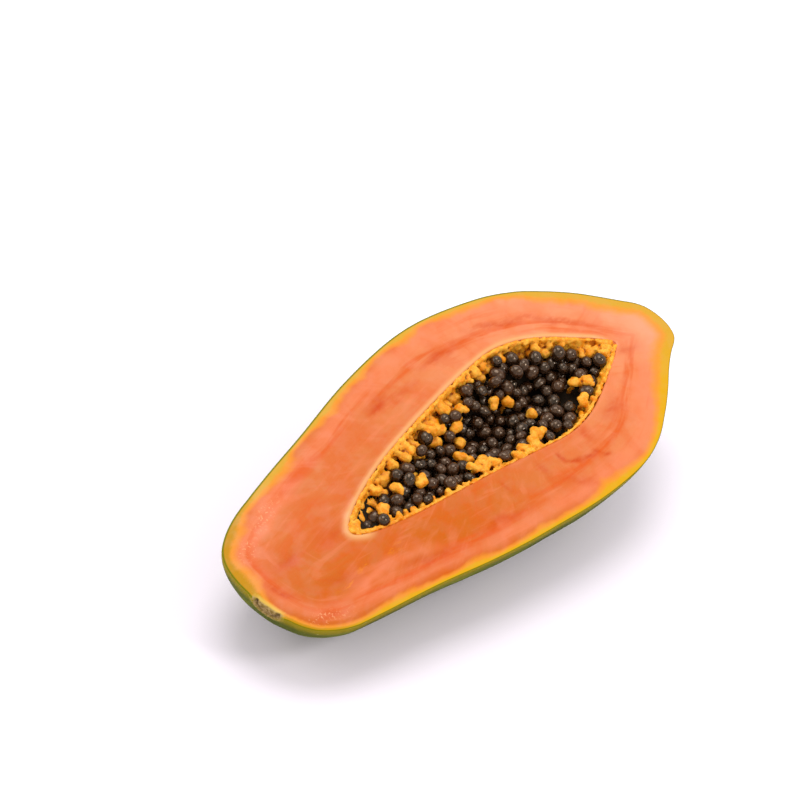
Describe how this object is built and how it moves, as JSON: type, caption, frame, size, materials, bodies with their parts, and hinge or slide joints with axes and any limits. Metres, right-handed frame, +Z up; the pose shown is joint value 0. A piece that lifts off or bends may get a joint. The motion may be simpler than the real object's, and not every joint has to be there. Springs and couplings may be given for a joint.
{
  "type": "papaya half",
  "caption": "Half of a long papaya, cut from stem end to blossom end, lying on its skin with its placenta and dark seeds in the hollow.",
  "frame": {"origin": "middle of the half's bounding box, on the surface it rests on", "axes": "+X along the fruit towards its blossom end, +Y towards the raised back edge of the cut, +Z up"},
  "size_m": [0.2802, 0.123, 0.0775],
  "materials": {
    "flesh": "moist orange flesh, with a green skin and a yellow band under it",
    "placenta": "moist, lumpy, yellow-orange",
    "seeds": "wet, nearly black"
  },
  "bodies": {
    "root": {"fruit": "flesh", "placenta": "placenta", "seeds": "seeds"}
  },
  "joints": []
}
